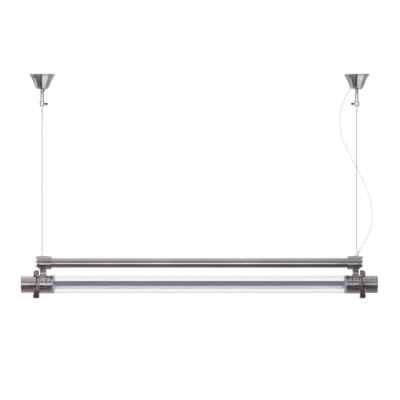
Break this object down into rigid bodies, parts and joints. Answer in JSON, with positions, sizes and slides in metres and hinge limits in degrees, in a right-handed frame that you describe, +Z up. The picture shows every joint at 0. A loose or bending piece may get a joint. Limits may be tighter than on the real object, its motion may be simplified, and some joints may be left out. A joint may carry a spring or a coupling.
{
  "type": "pendant light",
  "caption": "Linear pendant light: an upper pipe and a clear glass tube held by cast end brackets with hinged caps, hung on steel wires from lobed ceiling canopies.",
  "frame": {"origin": "centre of the four ceiling screw holes, in the ceiling plane", "axes": "+X along the lamp towards the end with the power cord, +Y away from the picture's viewer, +Z up into the ceiling"},
  "size_m": [1.3, 0.0878, 0.817],
  "materials": {
    "polished_nickel": "polished nickel plate on turned and cast metal",
    "bright_chrome": "bright chrome plate",
    "zinc_steel": "zinc-plated sheet steel",
    "steel_wire": "stranded stainless wire",
    "blackened_steel": "blackened steel",
    "white_plastic": "moulded white plastic",
    "clear_plastic": "clear moulded plastic",
    "cord_pvc": "clear over white flex",
    "lead_pvc": "insulated lead",
    "clear_glass": "clear borosilicate tube",
    "seal_silicone": "translucent silicone",
    "black_rubber": "black rubber",
    "tray_aluminium": "satin aluminium",
    "milky_diffuser": "milky polycarbonate, unlit",
    "board_white": "white solder mask",
    "tube_cap": "pressed lamp cap",
    "contact_brass": "plated contact pin"
  },
  "bodies": {
    "ceiling": {"ceiling_bracket_left": "zinc_steel", "ceiling_bracket_right": "zinc_steel", "swivel_pins": "zinc_steel", "terminal_block": "white_plastic", "cord_clamp": "white_plastic"},
    "left_canopy": {"canopy_left": "polished_nickel", "canopy_screw_left": "blackened_steel"},
    "right_canopy": {"canopy_right": "polished_nickel", "canopy_screw_right": "blackened_steel"},
    "left_stem": {"stem_left": "bright_chrome", "wire_lock_left": "bright_chrome", "link_pin_left": "bright_chrome", "wire_tail": "blackened_steel"},
    "right_stem": {"stem_right": "bright_chrome", "wire_lock_right": "bright_chrome", "link_pin_right": "bright_chrome", "power_cord": "cord_pvc"},
    "left_thumb_screw": {"thumb_screw_left": "blackened_steel"},
    "right_thumb_screw": {"thumb_screw_right": "blackened_steel"},
    "left_wire": {"wire_left": "steel_wire", "upper_eye_left": "bright_chrome", "lower_eye_left": "bright_chrome"},
    "right_wire": {"wire_right": "steel_wire", "upper_eye_right": "bright_chrome", "lower_eye_right": "bright_chrome"},
    "lamp": {"suspension_lug_left": "bright_chrome", "suspension_lug_right": "bright_chrome", "lug_pins": "bright_chrome", "end_bracket_left": "polished_nickel", "end_bracket_right": "polished_nickel", "top_pipe": "polished_nickel", "pipe_cover_left": "polished_nickel", "pipe_cover_right": "polished_nickel", "cover_screws_left": "polished_nickel", "cover_screws_right": "polished_nickel", "glass_tube": "clear_glass", "glass_seal_left": "seal_silicone", "glass_seal_right": "seal_silicone", "light_tray": "tray_aluminium", "tray_fixings": "zinc_steel", "lampholder_left": "white_plastic", "lampholder_right": "white_plastic", "lampholder_screws": "zinc_steel", "led_driver": "white_plastic", "lead_left": "lead_pvc", "lead_right": "lead_pvc", "supply_lead": "lead_pvc", "cap_gaskets": "black_rubber", "hinge_pins": "polished_nickel", "cable_gland": "clear_plastic"},
    "lamp_tube": {"lamp_back": "tray_aluminium", "lamp_diffuser": "milky_diffuser", "led_board": "board_white", "lamp_end_caps": "tube_cap", "lamp_contacts": "contact_brass", "lamp_rotors": "white_plastic"},
    "left_cap": {"end_cap_left": "polished_nickel"},
    "right_cap": {"end_cap_right": "polished_nickel"},
    "left_latch": {"cap_latch_left": "polished_nickel"},
    "right_latch": {"cap_latch_right": "polished_nickel"}
  },
  "joints": [
    {"name": "left_swing", "type": "hinge", "parent": "ceiling", "child": "left_stem", "pos_m": [-0.574, 0, -0.046], "axis": [1, 0, 0], "range_deg": [-8, 8]},
    {"name": "right_swing", "type": "hinge", "parent": "ceiling", "child": "right_stem", "pos_m": [0.574, 0, -0.046], "axis": [1, 0, 0], "range_deg": [-8, 8], "deforming": ["power_cord"]},
    {"name": "left_sway", "type": "hinge", "parent": "left_stem", "child": "left_wire", "pos_m": [-0.574, 0, -0.128], "axis": [0, 1, 0], "range_deg": [-8, 8]},
    {"name": "right_sway", "type": "hinge", "parent": "right_stem", "child": "right_wire", "pos_m": [0.574, 0, -0.128], "axis": [0, 1, 0], "range_deg": [-8, 8]},
    {"name": "lamp_level", "type": "hinge", "parent": "left_wire", "child": "lamp", "pos_m": [-0.574, 0, -0.65875], "axis": [0, 1, 0], "range_deg": [-8, 8]},
    {"name": "left_cap_hinge", "type": "hinge", "parent": "lamp", "child": "left_cap", "pos_m": [-0.596, 0, -0.725], "axis": [0, 1, 0], "range_deg": [0, 90]},
    {"name": "right_cap_hinge", "type": "hinge", "parent": "lamp", "child": "right_cap", "pos_m": [0.596, 0, -0.725], "axis": [0, -1, 0], "range_deg": [0, 90]},
    {"name": "left_latch_turn", "type": "hinge", "parent": "left_cap", "child": "left_latch", "pos_m": [-0.6, 0, -0.809], "axis": [-1, 0, 0], "range_deg": [0, 90]},
    {"name": "right_latch_turn", "type": "hinge", "parent": "right_cap", "child": "right_latch", "pos_m": [0.6, 0, -0.809], "axis": [1, 0, 0], "range_deg": [0, 90]},
    {"name": "lamp_tube_turn", "type": "hinge", "parent": "lamp", "child": "lamp_tube", "pos_m": [0, 0, -0.7699], "axis": [1, 0, 0], "range_deg": [0, 90]},
    {"name": "left_canopy_slide", "type": "slide", "parent": "ceiling", "child": "left_canopy", "axis": [0, 0, -1], "range_m": [0, 0.025]},
    {"name": "right_canopy_slide", "type": "slide", "parent": "ceiling", "child": "right_canopy", "axis": [0, 0, -1], "range_m": [0, 0.025]},
    {"name": "left_thumb_screw_turn", "type": "hinge", "parent": "left_stem", "child": "left_thumb_screw", "pos_m": [-0.56, 0, -0.108], "axis": [1, 0, 0], "range_deg": [0, 180]},
    {"name": "right_thumb_screw_turn", "type": "hinge", "parent": "right_stem", "child": "right_thumb_screw", "pos_m": [0.56, 0, -0.108], "axis": [-1, 0, 0], "range_deg": [0, 180]}
  ],
  "couplings": [
    {"joint": "right_swing", "follows": "left_swing", "ratio": 1},
    {"joint": "right_sway", "follows": "left_sway", "ratio": 1},
    {"joint": "lamp_level", "follows": "left_sway", "ratio": -1}
  ]
}
